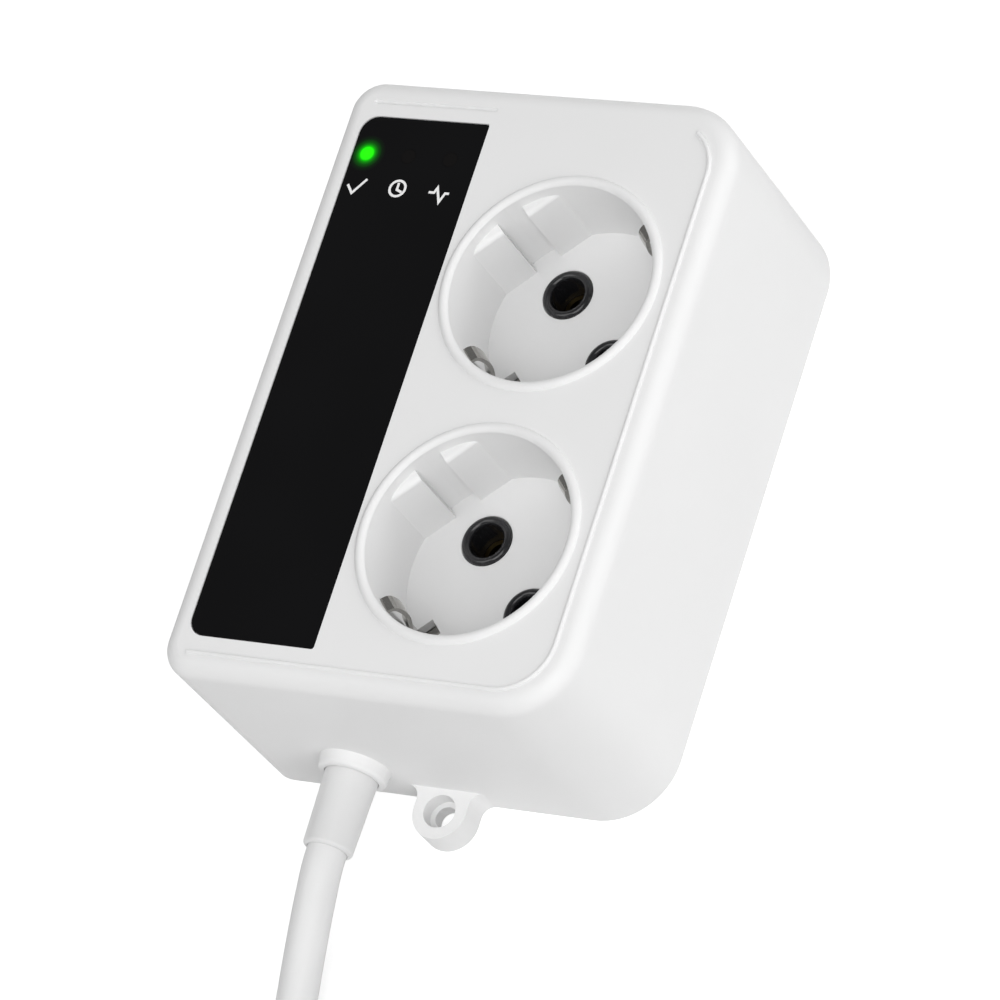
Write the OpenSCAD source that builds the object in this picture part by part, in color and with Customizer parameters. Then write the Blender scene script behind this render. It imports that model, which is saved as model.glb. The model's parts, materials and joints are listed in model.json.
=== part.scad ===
// Appliance voltage protector with two earthed sockets in one housing.
// The housing lies on its back: X runs across it, Y towards the indicator end,
// Z out of the face. The origin is the middle of the back, at the wall that it is screwed to.

/* [Housing] */
// Width of the housing
body_w = 85; // [84:1:110]
// Length of the housing, without the screw ears
body_l = 125.4; // [122:1:160]
// Depth of the housing from the wall to the face
body_h = 48.5; // [46:0.5:60]
// Thickness of the side walls
wall = 2.4; // [1.8:0.1:3.2]
// Thickness of the face
face_t = 3; // [2.6:0.1:4]
// Radius of the two corners beside the indicator panel
left_r = 6.3; // [5:0.1:9]
// Radius of the two corners beside the sockets
right_r = 13.8; // [9:0.1:18]
// Radius of the rounded edge of the face
edge_r = 3.4; // [1:0.1:4]

/* [Sockets] */
// Distance between the two sockets
socket_pitch = 51.6; // [48:0.1:60]
// Distance from the right side of the housing to the middle of the sockets
socket_inset = 29.5; // [27:0.1:30]
// How far the middle between the sockets lies along the housing
socket_y = -3.2; // [-5:0.1:0]
// Radius of the round recess
mouth_r = 20.5; // [20:0.1:21]
// Depth of the recess
recess_depth = 18.4; // [17.5:0.1:19]
// Thickness of the recess wall
well_t = 1.8; // [1.5:0.1:2.2]
// Thickness of the recess floor
floor_t = 2.2; // [1.8:0.1:3]
// Distance between the two pins of a plug
pin_pitch = 19; // [19:0.1:19.2]
// Radius of a plug pin
pin_r = 2.4; // [2:0.05:2.4]
// How far a guide rib stands in from the recess wall
guide_rise = 2.5; // [2:0.1:3]
// Width of the channel between the two guide ribs
guide_gap = 5.6; // [5:0.1:6.5]
// Width of an earth spring
strap_w = 3.2; // [2.6:0.1:4]
// Thickness of an earth spring
strap_t = 0.8; // [0.5:0.1:1]

/* [Indicator panel] */
// Distance from the panel to the raised edge of the sockets
panel_gap = 0.95; // [0.8:0.05:4]
// Distance from the panel to the lamp end of the housing
panel_top = 8.35; // [7.5:0.05:12]
// Distance from the panel to the cord end of the housing
panel_bottom = 7.65; // [6:0.05:12]
// Distance from the left side of the housing to the panel
panel_inset = 4.7; // [4.4:0.1:6]
// Thickness of the panel
panel_t = 1.6; // [1.2:0.1:1.8]
// Distance between the indicator lamps
lamp_pitch = 9.1; // [8:0.1:9.4]
// Distance from the top of the panel to the lamps
lamp_drop = 7.9; // [6:0.1:10]

/* [Groove] */
// Distance from the right side of the housing to the groove
groove_inset = 4.56; // [4:0.1:6]
// Radius of the groove's corners
groove_corner = 10.2; // [8:0.1:13]
// Radius of the groove's section
groove_r = 0.45; // [0.3:0.05:0.7]

/* [Screw ears] */
// Radius of a screw ear
ear_r = 5.6; // [5:0.1:8]
// Distance from the end of the housing to the screw
ear_reach = 4.5; // [4:0.1:8]
// Thickness of an ear
ear_t = 6; // [4:0.1:8]
// Radius of the hole for the wall screw
ear_hole_r = 2.25; // [1.6:0.05:2.7]
// Radius of the recess for its head
ear_head_r = 3.3; // [3:0.1:4.6]

/* [Cord] */
// Diameter of the cord
cord_d = 7.8; // [7:0.1:8]
// Height of the cord's outlet above the wall
cord_z = 12.5; // [11:0.1:14]
// How far the cord's outlet lies to the left of the middle
cord_left = 16.5; // [14:0.1:20]
// Length of the strain relief outside the housing
relief_l = 17.7; // [14:0.1:30]

/* [Hidden] */
$fn = 72;

// Small distances that pieces share
gap = 0.1;
over = 1;
half_w = body_w / 2;
half_l = body_l / 2;
ceiling_z = body_h - face_t;

// Rear cover and its screws
cover_t = 2.4;
ledge = 1.4;
cup_r = 3.7;
cup_top = 5;
cover_post_r = 3.5;
post_inset = max(left_r, wall + cup_r + gap);
screw_r = 1.45;
pilot_r = screw_r + 0.05;
screw_head_r = 2.9;
screw_head_t = 2.2;
head_sink = 0.4;
corner_reach = (right_r - wall - cup_r - gap) / sqrt(2);
cover_posts = [[-half_w + post_inset, -half_l + post_inset],
               [-half_w + post_inset, half_l - post_inset],
               [half_w - right_r + corner_reach, -half_l + right_r - corner_reach],
               [half_w - right_r + corner_reach, half_l - right_r + corner_reach]];

// Sockets: their own X runs along the two pins, their own Y along the two earth springs
socket_turn = 135;
socket_x = half_w - socket_inset;
socket_places = [[socket_x, socket_y + socket_pitch / 2], [socket_x, socket_y - socket_pitch / 2]];
floor_z = body_h - recess_depth;
well_bottom = floor_z - floor_t;
well_r = mouth_r + well_t;
bead_r = 1.1;
bead_mid = mouth_r + 1.03;
bead_rim = bead_mid + bead_r;
guide_flat = mouth_r - guide_rise;
bead_sink = 0.4;
guide_top = body_h - 2.4;
guide_round = 1;
bush_r = 5.1;
bush_bore = 3.4;
bush_rise = 0.7;
tube_r = 4.7;
bush_lip = (bush_r - bush_bore) / 2;

// Contact carrier, the springs and the bars below the recess floor
strap_z = well_bottom - gap - strap_t / 2;
plate_top = strap_z - strap_t / 2 - gap;
plate_t = 3;
plate_bottom = plate_top - plate_t;
plate_l = 31;
plate_w = 20;
sleeve_depth = 12;
sleeve_wall = 0.85;
contact_r = pin_r + 0.05;
sleeve_z = plate_bottom - sleeve_depth;
bar_t = 0.8;
bar_w = 6;
sleeve_slit = 0.9;
bar_top = sleeve_z;
bar_tab = 9;
carrier_screw = [5, 8];
boss_r = 2.6;
boss_end = plate_bottom + 0.3;
washer_r = 4;
slot_side = 0.2;
slot_w = strap_w + 2 * slot_side;

// Path of an earth spring, from the middle of its base to its tip
bend_r = 1.3;
spring_leg = mouth_r - 0.8;
spring_lean = 20;
spring_knee_r = 4;
spring_bulge = mouth_r - 2.2;
spring_belly_r = 8;
spring_crown_r = 1.6;
spring_top = body_h - 4.1;
spring_tip = mouth_r + 1.6;
crown_z = spring_top - spring_crown_r;
belly_z = crown_z - (spring_belly_r - spring_crown_r) * sin(spring_lean);
knee_run = spring_leg - spring_bulge - (spring_belly_r + spring_knee_r) * (1 - cos(spring_lean));
knee_z = belly_z - (spring_belly_r + spring_knee_r) * sin(spring_lean) - knee_run / tan(spring_lean);

// Indicator panel and lamps
panel_x = -half_w + panel_inset;
panel_w = socket_x - bead_rim - panel_gap - panel_x;
panel_l = body_l - panel_top - panel_bottom;
panel_y = (panel_bottom - panel_top) / 2;
panel_r = 3.6;
panel_sharp_r = 0.6;
panel_sink = 0.2;
pocket_z = body_h - panel_sink - panel_t;
lamp_y = panel_y + panel_l / 2 - lamp_drop;
lamp_x = panel_x + 3.1;
lens_r = 1.5;
lens_foot_r = 2.2;
lens_foot = 2.2;
led_r = 1.5;
led_flange_r = 1.9;
led_top = pocket_z - lens_foot - 0.2;
led_h = 4.8;
led_bottom = led_top - led_h;
spacer_r = 2.4;
spacer_bore = 1.3;

// Control board and what it carries
board_t = 1.6;
board_top = ceiling_z - 23.9;
board_z = board_top - board_t;
board_x = -half_w + 3.9;
board_w = socket_x - well_r - 1.7 - board_x;
board_y = lamp_y - 80.5;
board_end = lamp_y + 5.8;
board_post_r = 2.6;
board_posts = [[lamp_x + lamp_pitch / 2, lamp_y + 2.8], [lamp_x + 1.5 * lamp_pitch, lamp_y + 2.8],
               [board_x + 3, board_y + 3], [board_x + board_w - 3, board_y + 3]];
board_mid = board_x + board_w / 2;
relay_size = [26.8, 32, 20.4];
relay_y = board_y + 25;
terminal_size = [15, 8, 10];
terminal_y = board_y + 3;
fuse_y = board_y + 17.6;
fuse_r = 2.6;
fuse_l = 20;
fuse_z = board_top + fuse_r + 1.2;
film_size = [18, 8, 13];
film_y = relay_y + relay_size[1] + 2;

// Cord outlet, strain relief and clamp
cord_x = -cord_left;
cord_r = cord_d / 2;
relief_bore = cord_r + 0.05;
relief_r = relief_bore + 1.3;
relief_tip_r = relief_bore + 0.9;
relief_round = 0.8;
relief_hole = relief_r + gap;
relief_flange_r = relief_r + 1.75;
relief_flange_t = 2;
collar_foot_r = relief_r + 1.8;
collar_rim_r = relief_r + 1.5;
collar_round = 0.9;
collar_l = 2.7;
clamp_y = -half_l + wall + relief_flange_t + 3.6;
clamp_post_r = 3.4;
clamp_span = cord_r + clamp_post_r + 1.7;
clamp_w = 6;
clamp_t = 3;
clamp_bite = 0.4;
clamp_top = cord_z - cord_r + clamp_bite;
clamp_rib_t = 3;

// Route of the cord: out of the housing, down to the surface and up to the coil
cord_route = [[-16.5, -50, 12.5], [-16.5, -56, 12.5], [-16.5, -64, 12.5], [-16.5, -72, 12.5],
              [-16.5, -81, 12.5], [-16.5, -85, 12.1], [-16.5, -88, 11.5], [-16.5, -92, 10.6],
              [-16.5, -97, 9.3], [-16.5, -102, 7.9], [-16.5, -106, 6.7], [-16.5, -110, 5.6],
              [-16.5, -115, 4.5], [-16.5, -120, 3.95], [-17.1, -127, 3.9], [-18.9, -133.8, 3.9],
              [-21.9, -140.1, 3.9], [-24.1, -143.6, 3.9], [-26.5, -146.6, 3.9]];
route_x = cord_route[0][0];

// Coil: two turns side by side in each of two layers, and two thirds of a turn on the outer ones
coil_place = [9, -178];
coil_r = 43.5;
coil_inner_r = coil_r - cord_r;
coil_outer_r = coil_r + cord_r;
coil_layers = [cord_r, cord_r + cord_d, cord_r + 2 * cord_d];
cord_bend = 40;
merge_turn = acos(1 - (route_x - coil_place[0] + coil_outer_r) / (cord_bend + coil_outer_r));
leave_turn = 35;
coil_entry = 180 - merge_turn;
coil_exit = 180 + leave_turn;
entry_run = 30;
exit_run = 105;
end_play = 0.3;
tail_x = coil_place[0] - (coil_outer_r + cord_bend) * cos(leave_turn) + cord_bend;
tail_route = [[-29.8, -205.2, 19.5], [-27.6, -208.4, 19.5], [-25.5, -213.1, 19.5], [-24, -217.8, 19.5],
              [-23, -222.6, 19.5], [-22.6, -228, 19.5], [-22.6, -232, 19.5]];
tie_w = 8;
tie_t = 0.8;
tie_angle = 35;

// Plug on the cord's end, lying beside the coil on its rim
plug_z = coil_layers[2];
plug_back = tail_route[len(tail_route) - 1][1];
plug_neck_l = 22;
plug_grip_l = 22;
plug_nose_l = 17;
plug_nose_r = 18.2;
plug_pin_l = 19;

// A straight run of points turned into a ribbon of even thickness
function unit(v) = v / norm(v);
function side(p, i) =
    let (t = unit(p[min(i + 1, len(p) - 1)] - p[max(i - 1, 0)])) [-t[1], t[0]];
function ribbon(p, t) = concat([for (i = [0 : len(p) - 1]) p[i] + side(p, i) * t / 2],
                               [for (i = [len(p) - 1 : -1 : 0]) p[i] - side(p, i) * t / 2]);
function arc(c, r, from, to, n) =
    [for (i = [0 : n]) c + r * [cos(from + (to - from) * i / n), sin(from + (to - from) * i / n)]];

// Rings of points round a path in space, and the faces that join them
function tangent(p, i) = unit(p[min(i + 1, len(p) - 1)] - p[max(i - 1, 0)]);
function level(n, t) = unit(n - (n * t) * t);
function normals(p, start) =
    [for (i = 0, n = level(start, tangent(p, 0)); i < len(p);
          i = i + 1, n = i < len(p) ? level(n, tangent(p, i)) : n) n];
function ring(c, n, t, r, sides) =
    [for (k = [0 : sides - 1]) c + r * (cos(360 * k / sides) * n + sin(360 * k / sides) * cross(t, n))];
function spline_point(a, b, c, d, t) =
    0.5 * (2 * b + (c - a) * t + (2 * a - 5 * b + 4 * c - d) * t * t + (3 * b - a - 3 * c + d) * t * t * t);
function spline(p, n) = concat(
    [for (i = [0 : len(p) - 2], k = [0 : n - 1])
        spline_point(p[max(i - 1, 0)], p[i], p[i + 1], p[min(i + 2, len(p) - 1)], k / n)],
    [p[len(p) - 1]]);

module tube_along(p, r, sides, start = [0, 0, 1]) {
    n = normals(p, start);
    rings = [for (i = [0 : len(p) - 1]) each ring(p[i], n[i], tangent(p, i), r, sides)];
    last = (len(p) - 1) * sides;
    walls = [for (i = [0 : len(p) - 2], k = [0 : sides - 1])
        let (a = i * sides + k, b = i * sides + (k + 1) % sides)
            each [[a, b, b + sides], [a, b + sides, a + sides]]];
    ends = [[for (k = [sides - 1 : -1 : 0]) k], [for (k = [0 : sides - 1]) last + k]];
    turned = [for (f = concat(walls, ends)) [for (k = [len(f) - 1 : -1 : 0]) f[k]]];
    polyhedron(points = rings, faces = turned);
}

// Plan of the housing, drawn in by a distance from its outline
module plan(inset) {
    w = half_w - inset;
    l = half_l - inset;
    a = left_r - inset;
    b = right_r - inset;
    for (s = [-1, 1]) {
        translate([-w + a, s * (l - a)]) circle(a);
        translate([w - b, s * (l - b)]) circle(b);
    }
    translate([-w, b - l]) square([2 * w, 2 * (l - b)]);
    translate([-w, a - l]) square([w, 2 * (l - a)]);
    translate([a - w, -l]) square([2 * w - a - b, 2 * l]);
}

// Section from one side to the other with rounded upper edges
module bar_section(from, to, h, e) {
    translate([from, 0]) square([to - from, h - e]);
    translate([from + e, 0]) square([to - from - 2 * e, h]);
    for (x = [from + e, to - e]) translate([x, h - e]) circle(e);
}

module corner_pillar(r, h, e) {
    rotate_extrude() {
        square([r, h - e]);
        square([r - e, h]);
        intersection() {
            translate([r - e, h - e]) circle(e);
            square([r, h]);
        }
    }
}

// Block of the housing's plan with rounded upper edges
module rounded_block(inset, h, e) {
    w = half_w - inset;
    l = half_l - inset;
    a = left_r - inset;
    b = right_r - inset;
    for (s = [-1, 1]) {
        translate([-w + a, s * (l - a), 0]) corner_pillar(a, h, e);
        translate([w - b, s * (l - b), 0]) corner_pillar(b, h, e);
    }
    translate([0, l - b, 0]) rotate([90, 0, 0]) linear_extrude(2 * (l - b)) bar_section(-w, w, h, e);
    translate([a - w, 0, 0]) rotate([90, 0, 90]) linear_extrude(2 * w - a - b) bar_section(-l, l, h, e);
    translate([0, l - a, 0]) rotate([90, 0, 0]) linear_extrude(2 * (l - a)) left_section(-w, h, e);
}

module left_section(from, h, e) {
    translate([from, 0]) square([-from, h - e]);
    translate([from + e, 0]) square([-from - e, h]);
    translate([from + e, h - e]) circle(e);
}

module at_sockets() {
    for (p = socket_places) translate([p[0], p[1], 0]) rotate([0, 0, socket_turn]) children();
}

module at_socket(i) {
    translate([socket_places[i][0], socket_places[i][1], 0]) rotate([0, 0, socket_turn]) children();
}

module at_pins() {
    for (s = [-1, 1]) translate([s * pin_pitch / 2, 0, 0]) children();
}

module at_lamp(i) {
    translate([lamp_x + i * lamp_pitch, lamp_y, 0]) children();
}

// Screw ear with its neck blended into the end wall; the end wall is at Y = 0
module ear() {
    blend = 2.5;
    neck = ear_r + blend;
    difference() {
        linear_extrude(ear_t) {
            translate([0, -ear_reach]) circle(ear_r);
            translate([-ear_r, -ear_reach]) square([2 * ear_r, ear_reach + wall]);
            difference() {
                translate([-neck, -blend]) square([2 * neck, blend + wall / 2]);
                for (s = [-1, 1]) translate([s * neck, -blend]) circle(blend);
            }
        }
        translate([0, -ear_reach, -over]) cylinder(h = ear_t + 2 * over, r = ear_hole_r);
        translate([0, -ear_reach, ear_t - 3.2]) cylinder(h = ear_t, r = ear_head_r);
    }
}

// Line of the groove cut into the face
module groove() {
    right = half_w - groove_inset;
    top = half_l - 5.2;
    bottom = -half_l + 4.1;
    c = groove_corner;
    start = 56;
    translate([0, 0, body_h]) {
        groove_line([panel_x + 1.4, top], [panel_x + panel_w + 0.4, top]);
        groove_line([panel_x + 1.6, bottom], [right - c, bottom]);
        groove_line([right, bottom + c], [right, top - c]);
        translate([right - c, top - c, 0]) rotate_extrude(angle = start) translate([c, 0]) circle(groove_r);
        translate([right - c, bottom + c, 0]) rotate([0, 0, -90]) rotate_extrude(angle = 90)
            translate([c, 0]) circle(groove_r);
        translate([right - c + c * cos(start), top - c + c * sin(start), 0]) sphere(groove_r);
        translate([panel_x + 1.6, bottom, 0]) sphere(groove_r);
        for (x = [panel_x + 1.4, panel_x + panel_w + 0.4]) translate([x, top, 0]) sphere(groove_r);
    }
}

module groove_line(from, to) {
    d = to - from;
    translate([from[0], from[1], 0]) rotate([0, 90, atan2(d[1], d[0])]) cylinder(h = norm(d), r = groove_r);
}

module panel_outline(grow) {
    w = panel_w + 2 * grow;
    l = panel_l + 2 * grow;
    translate([panel_x - grow, panel_y - l / 2]) {
        for (y = [panel_r, l - panel_r]) translate([panel_r, y]) circle(panel_r);
        for (y = [panel_sharp_r, l - panel_sharp_r]) translate([w - panel_sharp_r, y]) circle(panel_sharp_r);
        translate([0, panel_r]) square([w - panel_sharp_r, l - 2 * panel_r]);
        translate([panel_r, 0]) square([w - panel_r - panel_sharp_r, l]);
        translate([w / 2, panel_sharp_r]) square([w / 2, l - 2 * panel_sharp_r]);
    }
}

// Guide ribs on both sides of a recess, with a channel between the two of each side
module guide_ribs() {
    for (turn = [0, 180]) rotate([0, 0, turn]) intersection() {
        translate([0, 0, floor_z - gap]) cylinder(h = guide_top - floor_z + gap, r = mouth_r + gap);
        for (s = [-1, 1]) translate([0, s * (guide_gap / 2 + mouth_r / 2), 0]) rotate([90, 0, 0])
            linear_extrude(mouth_r, center = true) polygon([[guide_flat, floor_z - gap],
                [mouth_r + over, floor_z - gap], [mouth_r + over, guide_top],
                each arc([guide_flat + guide_round, guide_top - guide_round], guide_round, 90, 180, 6)]);
    }
}

module housing_solid() {
    difference() {
        union() {
            rounded_block(0, body_h, edge_r);
            at_sockets() translate([0, 0, body_h - bead_sink]) rotate_extrude()
                translate([bead_mid, 0]) circle(bead_r);
            translate([0, -half_l, 0]) ear();
            translate([0, half_l, 0]) rotate([0, 0, 180]) ear();
            translate([cord_x, -half_l + over, cord_z]) rotate([90, 0, 0]) cord_collar();
        }
        translate([0, 0, -over]) rounded_block(wall, ceiling_z + over, 1);
        translate([0, 0, -over]) linear_extrude(cover_t + over) plan(ledge);
    }
    at_sockets() translate([0, 0, well_bottom]) cylinder(h = ceiling_z + over - well_bottom, r = well_r);
    for (p = cover_posts) translate([p[0], p[1], cup_top])
        cylinder(h = ceiling_z + over - cup_top, r = cover_post_r);
    for (p = board_posts) translate([p[0], p[1], board_top])
        cylinder(h = ceiling_z + over - board_top, r = board_post_r);
    for (s = [-1, 1]) translate([cord_x + s * clamp_span, clamp_y, clamp_top])
        cylinder(h = ceiling_z + over - clamp_top, r = clamp_post_r);
    translate([cord_x - clamp_span, clamp_y - clamp_rib_t / 2, cord_z + cord_r])
        cube([2 * clamp_span, clamp_rib_t, ceiling_z + over - cord_z - cord_r]);
    for (p = socket_places) translate([p[0] + well_r - over, p[1] - 0.8, well_bottom])
        cube([half_w - wall / 2 - p[0] - well_r + over, 1.6, ceiling_z + over - well_bottom]);
    translate([socket_x - 0.8, socket_y - socket_pitch / 2 + well_r - over, well_bottom])
        cube([1.6, socket_pitch - 2 * well_r + 2 * over, ceiling_z + over - well_bottom]);
    at_sockets() for (s = [-1, 1]) translate([s * carrier_screw[0], s * carrier_screw[1], boss_end])
        cylinder(h = well_bottom + over / 2 - boss_end, r = boss_r);
}

// Short collar round the cord's outlet, with a rounded rim
module cord_collar() {
    straight = collar_l - collar_round;
    cylinder(h = over, r = collar_foot_r);
    translate([0, 0, over]) cylinder(h = straight, r1 = collar_foot_r, r2 = collar_rim_r);
    translate([0, 0, over]) cylinder(h = collar_l, r = collar_rim_r - collar_round);
    translate([0, 0, over + straight]) rounded_rim(collar_rim_r, collar_round);
}

module rounded_rim(r, round) {
    rotate_extrude() translate([r - round, 0]) intersection() {
        circle(round);
        square(round);
    }
}

module housing() {
    color("whitesmoke") {
        difference() {
            housing_solid();
            at_sockets() {
                translate([0, 0, floor_z]) cylinder(h = recess_depth + over + bead_r, r = mouth_r);
                at_pins() translate([0, 0, well_bottom - over])
                    cylinder(h = floor_t + 2 * over, r = bush_r + gap);
                for (s = [-1, 1]) {
                    translate([s * carrier_screw[0], s * carrier_screw[1], boss_end - over])
                        cylinder(h = floor_z - 0.8 - boss_end + over, r = 1.2);
                    translate([-slot_w / 2, s * (mouth_r - 2.25) - 2.25, well_bottom - over])
                        cube([slot_w, 4.5, floor_t + 2 * over]);
                    translate([-slot_w / 2, s * mouth_r - 3, spring_top - strap_t / 2 - slot_side])
                        cube([slot_w, 6, strap_t + 2 * slot_side]);
                }
            }
            translate([0, 0, pocket_z]) linear_extrude(panel_t + over) panel_outline(0.15);
            for (i = [0 : 2]) at_lamp(i) translate([0, 0, ceiling_z - over])
                cylinder(h = face_t + over, r = lens_foot_r + gap);
            groove();
            for (p = cover_posts) translate([p[0], p[1], cup_top - over]) cylinder(h = 16, r = pilot_r);
            for (p = board_posts) translate([p[0], p[1], board_top - over]) cylinder(h = 11, r = 1.1);
            for (s = [-1, 1]) translate([cord_x + s * clamp_span, clamp_y, clamp_top - over])
                cylinder(h = 13, r = pilot_r);
            translate([cord_x, -half_l - collar_l - over, cord_z]) rotate([-90, 0, 0])
                cylinder(h = collar_l + wall + 2 * over, r = relief_hole);
        }
        at_sockets() guide_ribs();
    }
}

module rear_cover() {
    slot_l = 26;
    color("whitesmoke") difference() {
        union() {
            linear_extrude(cover_t) plan(ledge + gap);
            for (p = cover_posts) translate([p[0], p[1], 0]) cylinder(h = cup_top, r = cup_r);
            at_sockets() at_pins() cylinder(h = bar_top - bar_t, r = 3);
            for (x = [-half_w + 14, half_w - 14]) translate([x, -half_l + 20, 0])
                cube([1.4, body_l - 40, cover_t + 2]);
        }
        for (p = cover_posts) {
            translate([p[0], p[1], -over])
                cylinder(h = head_sink + screw_head_t + over, r = screw_head_r + 0.3);
            translate([p[0], p[1], -over]) cylinder(h = cup_top + 2 * over, r = screw_r + 0.15);
        }
        for (i = [0 : 4]) translate([-24 + i * 5, 0, -over]) vent_slot(slot_l);
    }
}

module vent_slot(l) {
    linear_extrude(cover_t + 2 * over) {
        translate([-1, -l / 2 + 1]) square([2, l - 2]);
        for (s = [-1, 1]) translate([0, s * (l / 2 - 1)]) circle(1);
    }
}

// Pan head screw that points up, with a cross slot in its head
module pan_screw(r, head_r, head_t, l) {
    difference() {
        union() {
            cylinder(h = head_t, r = head_r);
            translate([0, 0, head_t - 0.2]) cylinder(h = l + 0.2, r = r);
        }
        for (turn = [0, 90]) rotate([0, 0, turn]) translate([-head_r * 0.6, -0.4, -over])
            cube([head_r * 1.2, 0.8, over + head_t * 0.5]);
    }
}

module cover_screws() {
    color("silver") for (p = cover_posts) translate([p[0], p[1], head_sink])
        pan_screw(screw_r, screw_head_r, screw_head_t, 14);
}

module indicator_panel() {
    color("#141414") difference() {
        translate([0, 0, pocket_z]) linear_extrude(panel_t) panel_outline(0);
        for (i = [0 : 2]) at_lamp(i) translate([0, 0, pocket_z - over])
            cylinder(h = panel_t + 2 * over, r = lens_r + 0.05);
    }
}

// Light pipe from a lamp to the front of the panel
module lens(i) {
    at_lamp(i) {
        translate([0, 0, pocket_z - lens_foot]) cylinder(h = lens_foot, r = lens_foot_r);
        translate([0, 0, pocket_z - gap]) cylinder(h = panel_t + gap, r = lens_r);
    }
}

module green_lens() {
    color("lime") lens(0);
}

module amber_lens() {
    color("#2a2010") lens(1);
}

module red_lens() {
    color("#2a1010") lens(2);
}

module led(i) {
    at_lamp(i) translate([0, 0, led_bottom]) {
        cylinder(h = 1, r = led_flange_r);
        cylinder(h = led_h - led_r, r = led_r);
        translate([0, 0, led_h - led_r]) sphere(led_r);
    }
}

module green_led() {
    color("green") led(0);
}

module amber_led() {
    color("orange") led(1);
}

module red_led() {
    color("red") led(2);
}

module led_spacers() {
    color("#222222") for (i = [0 : 2]) at_lamp(i) translate([0, 0, board_top]) difference() {
        cylinder(h = led_bottom - board_top, r = spacer_r);
        translate([0, 0, -over]) cylinder(h = body_h, r = spacer_bore);
    }
}

module control_board() {
    color("#1e6b3a") difference() {
        translate([board_x, board_y, board_z]) cube([board_w, board_end - board_y, board_t]);
        for (p = board_posts) translate([p[0], p[1], board_z - over])
            cylinder(h = board_t + 2 * over, r = 1.3);
    }
}

module board_screws() {
    color("silver") for (p = board_posts) translate([p[0], p[1], board_z - 1.8])
        pan_screw(1.05, 2.4, 1.8, board_t + 8);
}

module relay() {
    color("#26406e") difference() {
        translate([board_mid - relay_size[0] / 2, relay_y, board_top]) cube(relay_size);
        translate([board_mid - relay_size[0] / 2 - over, relay_y - over, board_top - over])
            cube([relay_size[0] + 2 * over, 2, 2 + over]);
    }
}

module power_capacitor() {
    color("#c9a227") translate([board_x + 1, film_y, board_top]) cube(film_size);
}

module smoothing_capacitors() {
    y = film_y + film_size[1] + 5.2;
    color("#24272c") for (x = [board_x + 5.5, board_x + 15]) translate([x, y, board_top]) difference() {
        cylinder(h = 11.5, r = 4);
        translate([0, 0, 11]) cylinder(h = over, r = 3);
    }
}

module varistor() {
    color("#1d4fa0") translate([board_x + board_w - 5.4, film_y + 6.2, board_top + 8.8]) rotate([0, 90, 0]) {
        cylinder(h = 4, r = 7.4);
        for (s = [-1, 1]) translate([7.2, s * 3.2, 2]) rotate([0, 90, 0]) cylinder(h = 1.6, r = 0.4);
    }
}

module control_chip() {
    pins = [-1.905, -0.635, 0.635, 1.905];
    color("#151515") translate([board_x + board_w - 5, lamp_y - 5.2, board_top]) {
        translate([-1.95, -2.45, 0.2]) cube([3.9, 4.9, 1.4]);
        for (y = pins, s = [-1, 1]) translate([s * 2.4 - 0.6, y - 0.2, 0]) cube([1.2, 0.4, 0.8]);
    }
}

// Two resistors on each side of the fuse
module resistors() {
    reach = 5.2;
    color("#c8b68a") for (x = [-6, 6], s = [-1, 1])
        translate([board_mid + x, fuse_y + s * reach, board_top + 1.3]) rotate([0, 90, 0]) {
            cylinder(h = 6.5, r = 1.15, center = true);
            for (e = [-1, 1]) translate([0, 0, e * 2.6]) cylinder(h = 1.3, r = 1.3, center = true);
        }
}

module fuse() {
    color("#e8e2d0") translate([board_mid - fuse_l / 2, fuse_y, fuse_z]) rotate([0, 90, 0]) {
        cylinder(h = fuse_l, r = fuse_r - 0.3);
        for (z = [0, fuse_l - 5]) translate([0, 0, z]) cylinder(h = 5, r = fuse_r);
    }
}

module fuse_clips() {
    color("silver") for (x = [board_mid - fuse_l / 2 + 0.6, board_mid + fuse_l / 2 - 4.4])
        translate([x, fuse_y, board_top]) difference() {
            union() {
                translate([0, -fuse_r - 0.5, 0]) cube([3.8, 2 * fuse_r + 1, 0.6]);
                translate([0, -fuse_r - 0.5, 0]) cube([3.8, 2 * fuse_r + 1, fuse_z - board_top + 1.6]);
            }
            translate([-over, 0, fuse_z - board_top]) rotate([0, 90, 0])
                cylinder(h = 3.8 + 2 * over, r = fuse_r + 0.05);
            translate([-over, -1.7, fuse_z - board_top]) cube([3.8 + 2 * over, 3.4, 2 * fuse_r]);
            translate([-over, -1.7, 0.6]) cube([3.8 + 2 * over, 3.4, 2]);
        }
}

module terminal_block() {
    ways = 3;
    step = terminal_size[0] / ways;
    color("#3d8f4e") translate([board_mid - terminal_size[0] / 2, terminal_y, board_top]) difference() {
        cube(terminal_size);
        for (i = [0 : ways - 1]) translate([(i + 0.5) * step, 0, 0]) {
            translate([0, terminal_size[1] / 2, 4]) cylinder(h = terminal_size[2], r = 1.8);
            translate([-1.5, -over, 1.4]) cube([3, 3 + over, 3]);
        }
    }
}

// Black carrier that holds the contact sleeves of one socket and shows as two rings in its floor
module contact_carrier() {
    lip_z = floor_z + bush_rise - bush_lip;
    difference() {
        union() {
            translate([-plate_l / 2, -plate_w / 2, plate_bottom]) cube([plate_l, plate_w, plate_t]);
            at_pins() {
                translate([0, 0, sleeve_z + gap]) cylinder(h = plate_bottom - sleeve_z, r = tube_r);
                translate([0, 0, plate_bottom]) cylinder(h = lip_z - plate_bottom, r = bush_r);
                translate([0, 0, lip_z]) rotate_extrude()
                    translate([bush_bore + bush_lip, 0]) circle(bush_lip);
            }
        }
        at_pins() translate([0, 0, sleeve_z - over]) cylinder(h = body_h, r = bush_bore);
        for (s = [-1, 1]) translate([s * carrier_screw[0], s * carrier_screw[1], plate_bottom - over])
            cylinder(h = plate_t + 2 * over, r = boss_r + 0.2);
    }
}

module contact_carrier_upper() {
    color("#1b1b1b") at_socket(0) contact_carrier();
}

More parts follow.
